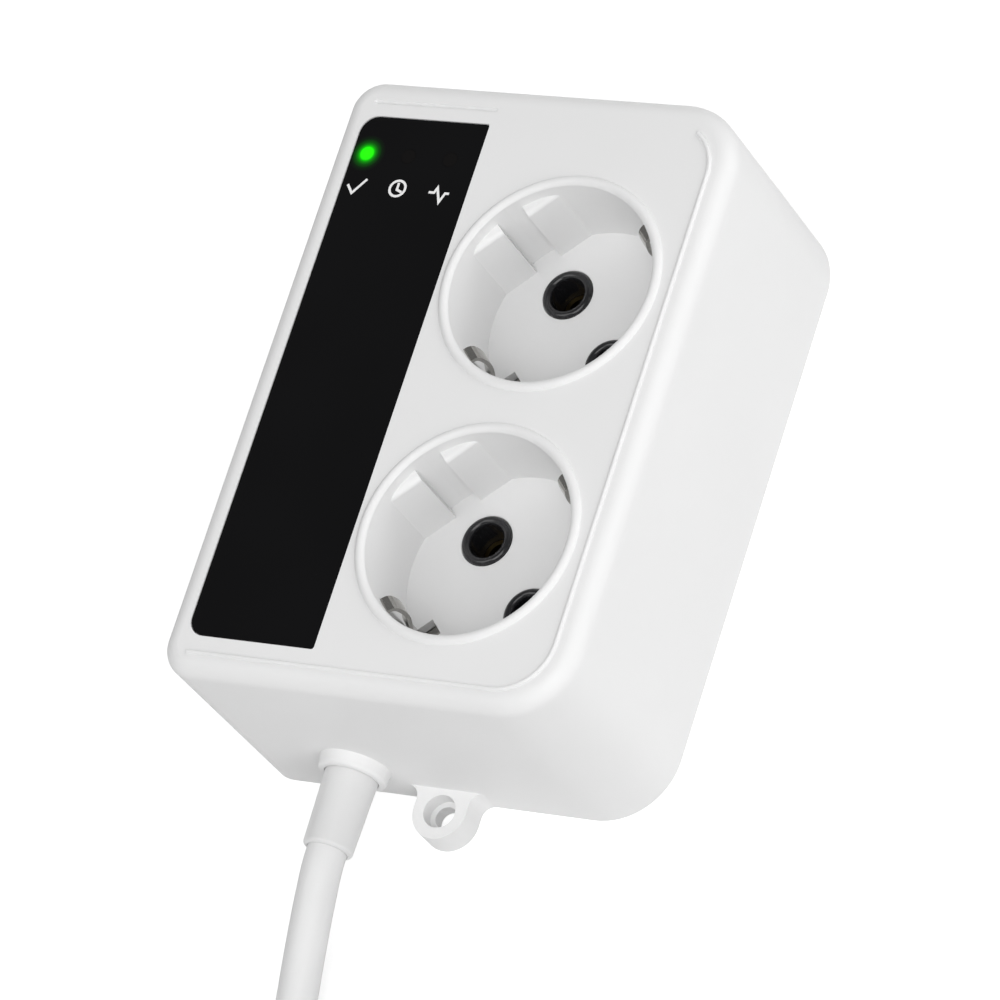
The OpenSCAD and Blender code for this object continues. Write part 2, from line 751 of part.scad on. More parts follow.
module contact_carrier_lower() {
    color("#1b1b1b") at_socket(1) contact_carrier();
}

module carrier_screws() {
    color("silver") at_sockets() for (s = [-1, 1])
        translate([s * carrier_screw[0], s * carrier_screw[1], plate_bottom - 2])
            pan_screw(1.15, washer_r, 2, 5);
}

// Brass bar under the sockets with a split sleeve for one pin of each
module busbar(s, tab) {
    low = [socket_places[1][0] - s * pin_pitch / sqrt(8), socket_places[1][1] + s * pin_pitch / sqrt(8)];
    color("#d3ab4a") difference() {
        union() {
            translate([low[0] - bar_w / 2, low[1] - bar_w / 2 - max(-tab, 0), bar_top - bar_t])
                cube([bar_w, socket_pitch + bar_w + abs(tab), bar_t]);
            for (y = [0, socket_pitch]) translate([low[0], low[1] + y, bar_top - bar_t])
                cylinder(h = sleeve_depth + bar_t, r = contact_r + sleeve_wall);
        }
        for (y = [0, socket_pitch]) translate([low[0], low[1] + y, bar_top]) {
            cylinder(h = sleeve_depth + over, r = contact_r);
            translate([0, -sleeve_slit / 2, 2]) cube([2 * contact_r, sleeve_slit, sleeve_depth]);
        }
        translate([low[0], low[1] + (tab > 0 ? socket_pitch + tab : tab), bar_top - bar_t - over])
            cylinder(h = bar_t + 2 * over, r = 1.6);
    }
}

module live_busbar() {
    busbar(1, bar_tab);
}

module neutral_busbar() {
    busbar(-1, -bar_tab);
}

// Spring strip that runs under the recess floor and up into the recess on both sides
module earth_strap() {
    foot = [spring_leg - bend_r, strap_z + bend_r];
    knee = [spring_leg - spring_knee_r, knee_z];
    belly = [spring_bulge + spring_belly_r, belly_z];
    crown_x = spring_bulge + spring_belly_r - (spring_belly_r - spring_crown_r) * cos(spring_lean);
    half = concat(arc(foot, bend_r, -90, 0, 6), arc(knee, spring_knee_r, 0, spring_lean, 4),
                  arc(belly, spring_belly_r, 180 + spring_lean, 180 - spring_lean, 8),
                  arc([crown_x, crown_z], spring_crown_r, 170 - spring_lean, 90, 6),
                  [[spring_tip, spring_top]]);
    mirrored = [for (i = [len(half) - 1 : -1 : 0]) [-half[i][0], half[i][1]]];
    color("#c9c6bb") rotate([90, 0, 90]) translate([0, 0, -strap_w / 2])
        linear_extrude(strap_w) polygon(ribbon(concat(mirrored, half), strap_t));
}

module earth_strap_upper() {
    at_socket(0) earth_strap();
}

module earth_strap_lower() {
    at_socket(1) earth_strap();
}

module strain_relief() {
    inner = wall + relief_flange_t;
    total = inner + relief_l;
    color("whitesmoke") translate([cord_x, -half_l + inner, cord_z]) rotate([90, 0, 0]) difference() {
        union() {
            cylinder(h = relief_flange_t, r = relief_flange_r);
            cylinder(h = inner, r = relief_r);
            translate([0, 0, inner]) cylinder(h = relief_l - relief_round, r1 = relief_r, r2 = relief_tip_r);
            cylinder(h = total, r = relief_tip_r - relief_round);
            translate([0, 0, total - relief_round]) rounded_rim(relief_tip_r, relief_round);
        }
        translate([0, 0, -over]) cylinder(h = total + 2 * over, r = relief_bore);
    }
}

module clamp_bar() {
    color("#e4e1d6") difference() {
        translate([cord_x - clamp_span - clamp_post_r, clamp_y - clamp_w / 2, clamp_top - clamp_t - gap])
            cube([2 * (clamp_span + clamp_post_r), clamp_w, clamp_t]);
        translate([cord_x, clamp_y - clamp_w / 2 - over, cord_z]) rotate([-90, 0, 0])
            cylinder(h = clamp_w + 2 * over, r = cord_r + 0.05);
        for (s = [-1, 1]) translate([cord_x + s * clamp_span, clamp_y, 0])
            cylinder(h = body_h, r = screw_r + 0.15);
    }
}

module clamp_screws() {
    color("silver") for (s = [-1, 1])
        translate([cord_x + s * clamp_span, clamp_y, clamp_top - clamp_t - gap - 2])
            pan_screw(screw_r, screw_head_r, 2, 13);
}

// Insulated core laid through hand chosen points; its two end stretches are straight
module core(points, r) {
    last = len(points) - 1;
    middle = [for (i = [1 : last - 1]) points[i]];
    tube_along(concat([points[0]], spline(middle, 4), [points[last]]), r, 8, [0.3, 0.2, 1]);
}

core_r = 1.2;
way = terminal_size[0] / 3;
entry_y = terminal_y + 1.9;
entry_z = board_top + 2.9;
sheath_end = -half_l + 12.7;
tab_z = bar_top + core_r + 0.05;
spring_solder_z = strap_z - strap_t / 2 - core_r - 0.05;

module core_live() {
    x = cord_x - 1.6;
    z = cord_z + 1.6;
    color("#7a4a2a") core([[x, sheath_end, z], [x, sheath_end + 1.5, z],
        [cord_x - 4.5, sheath_end + 5, cord_z + 4], [board_mid - way, board_y - 5, entry_z - 4],
        [board_mid - way, board_y - 1.5, entry_z], [board_mid - way, entry_y, entry_z]], core_r);
}

module core_neutral() {
    x = cord_x + 1.6;
    z = cord_z + 1.6;
    color("#3b78c2") core([[x, sheath_end, z], [x, sheath_end + 1.5, z],
        [cord_x + 0.5, sheath_end + 5, cord_z + 5], [board_mid, board_y - 5, entry_z - 3.5],
        [board_mid, board_y - 1.5, entry_z], [board_mid, entry_y, entry_z]], core_r);
}

module core_earth() {
    end = socket_places[1] - 14 * [1, 1] / sqrt(2);
    z = spring_solder_z;
    color("#8fae3a") core([[cord_x, sheath_end, cord_z - 1.8], [cord_x, sheath_end + 1.5, cord_z - 1.8],
        [cord_x + 4.5, sheath_end + 3, cord_z - 0.5], [end[0] - 8, end[1] - 6, z - 7],
        [end[0] - 3.5, end[1] - 3.5, z - 1.2], [end[0] - 1, end[1] - 1, z],
        [end[0] + 1, end[1] + 1, z]], core_r);
}

// Links on the far side of the board, to the bars and from spring to spring
module live_link() {
    x = socket_x - pin_pitch / sqrt(8);
    y = socket_places[0][1] + pin_pitch / sqrt(8) + bar_tab;
    edge = board_x + board_w;
    color("#26262a") core([[edge - 3, film_y + 0.4, board_top + core_r],
        [edge, film_y + 0.4, board_top + core_r], [edge + 3.5, film_y + 3, board_top],
        [x - 7, y - 3, bar_top + 5], [x - 3, y, tab_z], [x + 2.4, y, tab_z]], core_r);
}

module neutral_link() {
    x = socket_x + pin_pitch / sqrt(8);
    y = socket_places[1][1] - pin_pitch / sqrt(8) - bar_tab;
    color("#3b78c2") core([[board_mid + way, entry_y, entry_z], [board_mid + way, board_y - 1.5, entry_z],
        [board_mid + way + 4, board_y - 4, entry_z - 5], [x - 22, y + 6, bar_top + 3],
        [x - 8, y, tab_z + 0.2], [x - 3, y, tab_z], [x + 2.4, y, tab_z]], core_r);
}

module earth_link() {
    low = socket_places[1] + 14 * [1, 1] / sqrt(2);
    high = socket_places[0] - 14 * [1, 1] / sqrt(2);
    z = spring_solder_z;
    color("#8fae3a") core([[low[0] - 1.2, low[1] - 1.2, z], [low[0] + 0.4, low[1] + 0.4, z],
        [low[0] - 0.5, low[1] + 5, z - 2], [socket_x, socket_y, z - 5], [high[0] + 0.5, high[1] - 5, z - 2],
        [high[0] - 0.4, high[1] - 0.4, z], [high[0] + 1.2, high[1] + 1.2, z]], core_r);
}

module power_cord() {
    color("whitesmoke") tube_along(cord_route, cord_r, 12);
}

// The last stretch, from the coil's top turn to the plug
module cord_tail() {
    color("whitesmoke") tube_along(tail_route, cord_r, 12);
}

// The space of a stretch of the coil between two directions and two heights
module coil_slice(from, to, low, high) {
    reach = 2 * coil_outer_r;
    translate([0, 0, low]) linear_extrude(high - low)
        polygon([[0, 0], reach * [cos(from), sin(from)], reach * [cos(to), sin(to)]]);
}

// The outline of the wound turns, which gives way to the cord where it comes in and goes out
module cord_coil() {
    color("whitesmoke") difference() {
        translate([coil_place[0], coil_place[1], 0]) difference() {
            rotate_extrude() {
                for (r = [coil_inner_r, coil_outer_r], k = [0, 1])
                    translate([r, coil_layers[k]]) circle(cord_r);
                translate([coil_outer_r, coil_layers[2]]) circle(cord_r);
                translate([coil_inner_r, coil_layers[0]]) square(cord_d);
                translate([coil_outer_r - cord_r / 2, coil_layers[1]]) square([cord_r, cord_d]);
            }
            difference() {
                coil_slice(coil_entry - entry_run, coil_entry + end_play, -over, cord_d + gap);
                cylinder(h = 4 * cord_d, r = coil_r, center = true);
            }
            coil_slice(coil_exit - end_play, coil_exit + exit_run, 2 * cord_d, 4 * cord_d);
        }
        at_tie() translate([-2 * cord_d, -tie_w / 2 - gap, -over])
            cube([4 * cord_d, tie_w + 2 * gap, tie_t + over + gap]);
    }
}

module at_tie() {
    translate([coil_place[0], coil_place[1], 0]) rotate([0, 0, tie_angle])
        translate([coil_r, 0, 0]) children();
}

// Band that holds the turns together: a closed loop that passes under them
module coil_tie() {
    left = -cord_d - 0.4;
    right = cord_d + gap;
    low = 2 * cord_d + gap;
    top = 3 * cord_d + gap;
    crest = cord_r - 1.8;
    inside = [[left, tie_t], [right, tie_t], [right, top], [crest, top], [left, low]];
    outside = [[left - tie_t, 0], [right + tie_t, 0], [right + tie_t, top + tie_t],
               [crest - tie_t / 3, top + tie_t], [left - tie_t, low + tie_t / 3]];
    color("#2c2c2c") at_tie() rotate([90, 0, 0]) linear_extrude(tie_w, center = true) difference() {
        polygon(outside);
        polygon(inside);
    }
}

module plug_frame() {
    translate([tail_x, plug_back, plug_z]) rotate([90, 0, 0]) children();
}

// Round moulded plug: neck, grip and the nose that enters a recess
module plug_body() {
    nose = plug_neck_l + plug_grip_l;
    total = nose + plug_nose_l;
    color("whitesmoke") plug_frame() difference() {
        union() {
            cylinder(h = plug_neck_l + over, r1 = cord_r + 1.2, r2 = 7);
            translate([0, 0, plug_neck_l]) cylinder(h = 10, r1 = 12, r2 = 16.4);
            translate([0, 0, plug_neck_l + 10]) cylinder(h = 8, r1 = 16.4, r2 = plug_z);
            translate([0, 0, plug_neck_l + 18]) cylinder(h = 4, r = plug_z);
            translate([0, 0, nose - over]) cylinder(h = plug_nose_l + over, r = plug_nose_r);
        }
        for (s = [-1, 1]) {
            translate([s * pin_pitch / 2, 0, total - 8]) cylinder(h = 8 + over, r = pin_r + 0.05);
            for (t = [-1, 1]) translate([s * 21.5 - 4, t * 6.2 - 3.7, nose])
                cube([8, 7.4, plug_nose_l + over]);
            translate([-2.3, s * 18.7 - 1.5, nose]) cube([4.6, 3, plug_nose_l + over]);
        }
    }
}

module plug_pins() {
    total = plug_neck_l + plug_grip_l + plug_nose_l;
    color("silver") plug_frame() for (s = [-1, 1]) translate([s * pin_pitch / 2, 0, total - 8]) {
        cylinder(h = 8 + plug_pin_l - pin_r, r = pin_r);
        translate([0, 0, 8 + plug_pin_l - pin_r]) sphere(pin_r);
    }
}

module plug_earth_strips() {
    nose = plug_neck_l + plug_grip_l;
    color("silver") plug_frame() for (s = [-1, 1])
        translate([-2, s * 17.55 - 0.35, nose]) cube([4, 0.7, plug_nose_l - 0.4]);
}

housing();
rear_cover();
cover_screws();
indicator_panel();
green_lens();
amber_lens();
red_lens();
green_led();
amber_led();
red_led();
led_spacers();
control_board();
board_screws();
relay();
power_capacitor();
smoothing_capacitors();
varistor();
control_chip();
resistors();
fuse();
fuse_clips();
terminal_block();
contact_carrier_upper();
contact_carrier_lower();
carrier_screws();
live_busbar();
neutral_busbar();
earth_strap_upper();
earth_strap_lower();
strain_relief();
clamp_bar();
clamp_screws();
core_live();
core_neutral();
core_earth();
live_link();
neutral_link();
earth_link();
power_cord();
cord_coil();
coil_tie();
cord_tail();
plug_body();
plug_pins();
plug_earth_strips();
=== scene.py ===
# %% [markdown]
# A voltage protector with two earthed sockets, lit and finished as a product on a pale table.
#
# The solid model says where everything is and how large. It is loaded first and never moved.
# Blender adds what a solid model can't hold: the finish of each material, the cord as one bent
# length, the printed marks and the light.

# %% Load the solid model
import json
import math

import bmesh
import bpy
from mathutils import Matrix, Vector


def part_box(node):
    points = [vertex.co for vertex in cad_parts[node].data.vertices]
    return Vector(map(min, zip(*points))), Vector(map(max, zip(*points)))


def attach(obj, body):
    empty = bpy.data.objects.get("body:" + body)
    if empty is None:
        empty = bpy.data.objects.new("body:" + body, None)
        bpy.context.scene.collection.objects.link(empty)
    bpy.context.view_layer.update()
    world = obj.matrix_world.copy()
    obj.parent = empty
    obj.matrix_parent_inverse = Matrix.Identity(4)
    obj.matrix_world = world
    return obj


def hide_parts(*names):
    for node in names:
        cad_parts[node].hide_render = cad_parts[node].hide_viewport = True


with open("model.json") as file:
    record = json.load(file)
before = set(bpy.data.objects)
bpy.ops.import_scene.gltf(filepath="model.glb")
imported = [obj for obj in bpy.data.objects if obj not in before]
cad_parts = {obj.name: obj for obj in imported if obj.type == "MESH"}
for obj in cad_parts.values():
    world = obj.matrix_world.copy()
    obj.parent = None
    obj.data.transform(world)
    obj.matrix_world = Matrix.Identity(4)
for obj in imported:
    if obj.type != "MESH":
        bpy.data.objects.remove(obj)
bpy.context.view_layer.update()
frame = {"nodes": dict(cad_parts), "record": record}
scene = bpy.context.scene
nodes = frame["nodes"]
record = frame["record"]
MM = 0.001

# %% [markdown]
# The camera comes first, because everything later is judged through it.
#
# The photograph was taken with a long lens from the front right and above, and the camera was
# turned about its own line of sight, so that the object leans in the picture. A camera is
# aimed by three directions: forwards, to the right and up. Forwards follows from the two ends of
# the line of sight. The other two start level and are then turned by the roll.

# %% Place the camera
CAMERA_PLACE = Vector((0.59104, -0.42941, 0.98371))
CAMERA_AIM = Vector((0.017455, -0.021792, 0.0485))
CAMERA_ROLL = math.radians(-42.21)
LENS_MM = 232.3
SENSOR_MM = 36


def add_camera(place, aim, roll, lens):
    """A camera at a place, aimed at a point and turned about its own line of sight."""
    data = bpy.data.cameras.new("photo_camera")
    data.lens = lens
    data.sensor_width = SENSOR_MM
    camera = bpy.data.objects.new("photo_camera", data)
    scene.collection.objects.link(camera)
    forwards = (aim - place).normalized()
    level = forwards.cross(Vector((0, 0, 1))).normalized()
    upright = level.cross(forwards)
    right = level * math.cos(roll) + upright * math.sin(roll)
    up = right.cross(forwards)
    turn = Matrix((right, up, -forwards)).transposed()
    camera.matrix_world = Matrix.Translation(place) @ turn.to_4x4()
    return camera


scene.camera = add_camera(CAMERA_PLACE, CAMERA_AIM, CAMERA_ROLL, LENS_MM)
print("camera", round((CAMERA_AIM - CAMERA_PLACE).length, 3), "m from what it looks at")

# %% [markdown]
# The cord is a round lead of one length, so it is one curve with a round section.
#
# It leaves its gland straight, comes down to the table under its own weight and runs on along it.
# The picture shows only its first stretch. The rest is put away beyond the picture's edge, wound in
# a neat coil with the plug at its end. The route outside the coil is a short list of points.
# The turns follow a rule, so a loop works them out: the cord goes round and round, and now and then
# it moves a diameter inwards, upwards or outwards, each move over a sixth of a turn or more. Where on
# the coil each move starts, and how far round it takes, are given in degrees of turning.

# %% Work out the line of the cord
CORD_R = 3.9 * MM
LEAD_OUT = [
    (-0.0165, -0.050, 0.0125), (-0.0165, -0.056, 0.0125), (-0.0165, -0.064, 0.0125),
    (-0.0165, -0.072, 0.0125), (-0.0165, -0.081, 0.0125), (-0.0165, -0.085, 0.0121),
    (-0.0165, -0.088, 0.0115), (-0.0165, -0.092, 0.0106), (-0.0165, -0.097, 0.0093),
    (-0.0165, -0.102, 0.0079), (-0.0165, -0.106, 0.0067), (-0.0165, -0.110, 0.0056),
    (-0.0165, -0.115, 0.0045), (-0.0165, -0.120, 0.00395), (-0.0171, -0.127, 0.0039),
    (-0.0189, -0.1338, 0.0039), (-0.0219, -0.1401, 0.0039), (-0.0241, -0.1436, 0.0039),
    (-0.0265, -0.1466, 0.0039),
]
LEAD_TAIL = [
    (-0.0298, -0.2052, 0.0195), (-0.0276, -0.2084, 0.0195), (-0.0255, -0.2131, 0.0195),
    (-0.0240, -0.2178, 0.0195), (-0.0230, -0.2226, 0.0195), (-0.0226, -0.2280, 0.0195),
    (-0.0226, -0.2320, 0.0195),
]
COIL_MID = Vector((9 * MM, -178 * MM, 0))
COIL_R = 43.5 * MM
COIL_START = 138.5
COIL_END = 4 * 360 + 215
COIL_STEP = 12
INWARDS_AT = 393.5
UPWARDS_AT = 738.5
OUTWARDS_AT = 1070.5
UPWARDS_AGAIN_AT = 1415.7
SIDEWAYS_RUN = 75
UPWARDS_RUN = 60


def ease(value, start, run):
    """0 before start, 1 after start + run, and a smooth step between them."""
    share = min(max((value - start) / run, 0), 1)
    return share * share * (3 - 2 * share)


def coil_point(turn):
    """Where the wound cord is after turning this many degrees."""
    inwards = ease(turn, INWARDS_AT, SIDEWAYS_RUN)
    outwards = ease(turn, OUTWARDS_AT, SIDEWAYS_RUN)
    upwards = ease(turn, UPWARDS_AT, UPWARDS_RUN) + ease(turn, UPWARDS_AGAIN_AT, UPWARDS_RUN)
    radius = COIL_R + CORD_R * (1 - 2 * inwards + 2 * outwards)
    height = CORD_R * (1 + 2 * upwards)
    angle = math.radians(turn)
    return COIL_MID + Vector((radius * math.cos(angle), radius * math.sin(angle), height))


cord_line = [Vector(p) for p in LEAD_OUT]
steps = round((COIL_END - COIL_START) / COIL_STEP)
for k in range(1, steps):
    cord_line.append(coil_point(COIL_START + k * (COIL_END - COIL_START) / steps))
cord_line += [Vector(p) for p in LEAD_TAIL]
print(len(cord_line), "points on the cord,", steps, "steps in its coil")

# %% [markdown]
# A curve with a round section is the quickest way to a cord, because Blender carries the
# section along the line by itself.
#
# The handles of each point decide how smoothly the line passes it. Here both lie along the line
# between the two neighbours, a sixth of its length to each side, so that the curve neither
# flattens nor overshoots. The finished curve is then turned into a mesh, whose size can be measured,
# and whose underside is pressed flat by a hair where it lies on the table.

# %% Make the cord
SECTION_STEPS = 6
STEPS_BETWEEN_POINTS = 4
HANDLE_PARTS = 6


def smooth_curve(name, points, radius):
    """A round cord through points, as one open curve."""
    data = bpy.data.curves.new(name, "CURVE")
    data.dimensions = "3D"
    data.bevel_depth = radius
    data.bevel_resolution = SECTION_STEPS
    data.resolution_u = STEPS_BETWEEN_POINTS
    data.use_fill_caps = True
    spline = data.splines.new("BEZIER")
    spline.bezier_points.add(len(points) - 1)
    for k, knot in enumerate(spline.bezier_points):
        after = points[min(k + 1, len(points) - 1)]
        before = points[max(k - 1, 0)]
        along = (after - before) / HANDLE_PARTS
        knot.handle_left_type = "FREE"
        knot.handle_right_type = "FREE"
        knot.co = points[k]
        knot.handle_left = points[k] - along
        knot.handle_right = points[k] + along
    line = bpy.data.objects.new(name + "_line", data)
    scene.collection.objects.link(line)
    return line


def mesh_from(line, name):
    """The mesh of a curve as a new piece. The curve itself is removed."""
    bpy.context.view_layer.update()
    shown = line.evaluated_get(bpy.context.evaluated_depsgraph_get())
    piece = bpy.data.objects.new(name, bpy.data.meshes.new_from_object(shown))
    scene.collection.objects.link(piece)
    bpy.data.objects.remove(line)
    for face in piece.data.polygons:
        face.use_smooth = True
    for corner in piece.data.vertices:
        corner.co.z = max(corner.co.z, 0)
    return piece


power_lead = mesh_from(smooth_curve("power_lead", cord_line, CORD_R), "power_lead")
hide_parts("power_cord", "cord_coil", "cord_tail")
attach(power_lead, "root")
print("the cord is", 2 * CORD_R, "m thick and has", len(power_lead.data.polygons), "faces")

# %% [markdown]
# Materials in Blender are nodes, and a few kinds of node come up again and again.
#
# Each gets a short function: an empty group with named sockets, a noise texture, a noise stretched
# between two values and one colour mixed into another. A scale or a limit may be a number, which is
# set on the node, or the output of another node, which is linked to it. The Mix node has sockets for
# numbers, vectors and colours, often under the same name, so the ones for colours go by number.

# %% Write helpers for nodes
NOISE_LOW = 0.2
NOISE_HIGH = 0.8
MIX_COLOUR_A = 6
MIX_COLOUR_B = 7
MIX_COLOUR_RESULT = 2


def new_group(name, inputs, outputs):
    """An empty node group. Each socket is a name, a type and, for an input, a first value."""
    group = bpy.data.node_groups.new(name, "ShaderNodeTree")
    for label, kind, value in inputs:
        made = group.interface.new_socket(label, in_out="INPUT", socket_type=kind)
        made.default_value = value
    for label, kind in outputs:
        group.interface.new_socket(label, in_out="OUTPUT", socket_type=kind)
    entry = group.nodes.new("NodeGroupInput")
    leave = group.nodes.new("NodeGroupOutput")
    return group, entry, leave


def noise(tree, scale, detail, vector):
    """A noise texture of a given scale on given coordinates."""
    made = tree.nodes.new("ShaderNodeTexNoise")
    made.inputs["Detail"].default_value = detail
    tree.links.new(vector, made.inputs["Vector"])
    if isinstance(scale, (int, float)):
        made.inputs["Scale"].default_value = scale
    else:
        tree.links.new(scale, made.inputs["Scale"])
    return made.outputs["Fac"]


def stretched(tree, value, low, high):
    """The middle range of a noise, where most of its values are, stretched softly from low to high."""
    made = tree.nodes.new("ShaderNodeMapRange")
    made.interpolation_type = "SMOOTHSTEP"
    made.inputs["From Min"].default_value = NOISE_LOW
    made.inputs["From Max"].default_value = NOISE_HIGH
    tree.links.new(value, made.inputs["Value"])
    for label, end in (("To Min", low), ("To Max", high)):
        if isinstance(end, (int, float)):
            made.inputs[label].default_value = end
        else:
            tree.links.new(end, made.inputs[label])
    return made.outputs["Result"]


def mixed(tree, share, first, second):
    """One colour mixed into another."""
    made = tree.nodes.new("ShaderNodeMix")
    made.data_type = "RGBA"
    tree.links.new(share, made.inputs["Factor"])
    tree.links.new(first, made.inputs[MIX_COLOUR_A])
    tree.links.new(second, made.inputs[MIX_COLOUR_B])
    return made.outputs[MIX_COLOUR_RESULT]


# %% [markdown]
# Every finish here starts from a little unevenness that one flat colour lacks.
#
# Moulded plastic has a faint cloudiness in its colour, a skin that is duller in some places than in
# others, and a very fine grain. All three are noise at different sizes. They are built once, as a node
# group with named inputs, and each plastic sets its own values. The group reads Object
# coordinates, so a pattern has a real size and stays on its piece.

# %% Build the group for moulded plastic
PATCH_SCALE = 60.0


def moulded_group():
    """Faint clouds in the colour, patches in the gloss and a fine grain."""
    group, entry, leave = new_group(
        "moulded_skin",
        [
            ("Colour", "NodeSocketColor", (0.8, 0.8, 0.8, 1)),
            ("Cloud Colour", "NodeSocketColor", (0.7, 0.7, 0.7, 1)),
            ("Cloud Scale", "NodeSocketFloat", 40.0),
            ("Grain Scale", "NodeSocketFloat", 2500.0),
            ("Smooth", "NodeSocketFloat", 0.3),
            ("Dull", "NodeSocketFloat", 0.4),
        ],
        [
            ("Colour", "NodeSocketColor"),
            ("Roughness", "NodeSocketFloat"),
            ("Height", "NodeSocketFloat"),
        ],
    )
    place = group.nodes.new("ShaderNodeTexCoord").outputs["Object"]
    clouds = stretched(group, noise(group, entry.outputs["Cloud Scale"], 1, place), 0.0, 1.0)
    patches = noise(group, PATCH_SCALE, 1, place)
    group.links.new(mixed(group, clouds, entry.outputs["Colour"], entry.outputs["Cloud Colour"]),
                    leave.inputs["Colour"])
    group.links.new(stretched(group, patches, entry.outputs["Smooth"], entry.outputs["Dull"]),
                    leave.inputs["Roughness"])
    group.links.new(noise(group, entry.outputs["Grain Scale"], 2, place), leave.inputs["Height"])
    return group


moulded = moulded_group()
print("group", moulded.name, "with", len(moulded.nodes), "nodes")

# %% [markdown]
# Most pieces here are moulded or coated, and differ only in a few values.
#
# So one function makes every plastic, and a table says what is special about each: how smooth and
# how dull its skin is at most, how dark its clouds are against its colour, how fine its grain is and
# how deep. The colours are the solid model's own. Painted shade darkens one of them a little, the
# gland, in shade at the foot of the end wall, and shine weakens the reflection of a clear dark skin.

# %% Make the plastics
LOW_SHINE = 0.15


def shade(colour, factor):
    """A colour made darker or lighter."""
    return tuple(min(c * factor, 1) for c in colour[:3]) + (1,)


def new_material(name):
    """A material with its Principled shader."""
    material = bpy.data.materials.new(name)
    material.use_nodes = True
    return material, material.node_tree, material.node_tree.nodes["Principled BSDF"]


def add_skin(tree, shader, group, values, bump):
    """Feeds a shader from a finish group, and its height through a bump of so many metres."""
    skin = tree.nodes.new("ShaderNodeGroup")
    skin.node_tree = group
    for label, value in values.items():
        skin.inputs[label].default_value = value
    tree.links.new(skin.outputs["Colour"], shader.inputs["Base Color"])
    tree.links.new(skin.outputs["Roughness"], shader.inputs["Roughness"])
    relief = tree.nodes.new("ShaderNodeBump")
    relief.inputs["Distance"].default_value = bump
    tree.links.new(skin.outputs["Height"], relief.inputs["Height"])
    tree.links.new(relief.outputs["Normal"], shader.inputs["Normal"])


def plastic(name, colour, smooth, dull, clouds=0.96, grain=2500.0, bump=0.01 * MM, painted_shade=1, shine=0.5):
    """A moulded plastic of one colour."""
    material, tree, shader = new_material(name)
    shader.inputs["Specular IOR Level"].default_value = shine
    # painted_shade darkens the colour, as painted shade for a piece that lies in shade; 1 leaves it.
    values = {
        "Colour": shade(colour, painted_shade),
        "Cloud Colour": shade(colour, painted_shade * clouds),
        "Grain Scale": grain,
        "Smooth": smooth,
        "Dull": dull,
    }
    add_skin(tree, shader, moulded, values, bump)
    return material


PLASTICS = {
    "housing_shell": dict(name="white_shell", smooth=0.5, dull=0.56, clouds=0.985),
    # Painted shade: the gland's white is darkened a little for the shade at the foot of the end wall.
    "relief_white": dict(name="white_gland", smooth=0.34, dull=0.44, clouds=0.97, painted_shade=0.92),
    "plug_shell": dict(name="white_plug", smooth=0.36, dull=0.46, clouds=0.97, grain=1500.0),
    "carrier_black": dict(name="black_carrier", smooth=0.1, dull=0.16, clouds=0.7),
    "lens_dark": dict(name="dark_lens", smooth=0.1, dull=0.16, clouds=0.8, shine=LOW_SHINE),
    "relay_blue": dict(name="blue_relay_case", smooth=0.25, dull=0.36, clouds=0.85),
    "film_yellow": dict(name="yellow_film_case", smooth=0.3, dull=0.42, clouds=0.9),
    "can_sleeve": dict(name="capacitor_sleeve", smooth=0.2, dull=0.32, clouds=0.8),
    "varistor_blue": dict(name="varistor_coat", smooth=0.42, dull=0.6, clouds=0.8, grain=1200.0,
                          bump=0.1 * MM),
    "chip_black": dict(name="chip_epoxy", smooth=0.5, dull=0.68, clouds=0.7, bump=0.04 * MM),
    "resistor_tan": dict(name="resistor_coat", smooth=0.4, dull=0.55, clouds=0.9),
    "fuse_ceramic": dict(name="fuse_ceramic", smooth=0.18, dull=0.3, clouds=0.94),
    "terminal_green": dict(name="terminal_body", smooth=0.4, dull=0.52, clouds=0.85),
    "clamp_fibre": dict(name="clamp_bar_fibre", smooth=0.6, dull=0.75, clouds=0.88, bump=0.05 * MM),
    "core_brown": dict(name="brown_insulation", smooth=0.42, dull=0.52, clouds=0.85),
    "core_blue": dict(name="blue_insulation", smooth=0.42, dull=0.52, clouds=0.85),
    "core_black": dict(name="black_insulation", smooth=0.42, dull=0.52, clouds=0.75),
    "cord_sheath": dict(name="white_sheath", smooth=0.42, dull=0.52, clouds=0.97, bump=0.02 * MM),
    "tie_black": dict(name="tie_plastic", smooth=0.45, dull=0.6, clouds=0.7),
    "led_green": dict(name="green_lamp", smooth=0.1, dull=0.2, clouds=0.9),
    "led_amber": dict(name="amber_lamp", smooth=0.1, dull=0.2, clouds=0.9),
    "led_red": dict(name="red_lamp", smooth=0.1, dull=0.2, clouds=0.9),
}
COLOURS = {m["slot"]: tuple(m["base_color"]) for m in record["materials"]}
finish = {slot: plastic(colour=COLOURS[slot], **look) for slot, look in PLASTICS.items()}
print(len(finish), "plastics")

# %% [markdown]
# Metal shows its tool marks: fine parallel lines from rolling or drawing, and spots where plating
# has gone a little dull.
#
# Lines are noise pulled out along one direction, by scaling the coordinates before the noise
# reads them. The same group makes bright plated springs, brass bars darkened by painted shade, and
# zinc screws.

# %% Build the group for metal
SPOT_SCALE = 350.0
LINES_ALONG_X = (60.0, 4000.0, 4000.0)
LINES_ALONG_Y = (4000.0, 60.0, 4000.0)


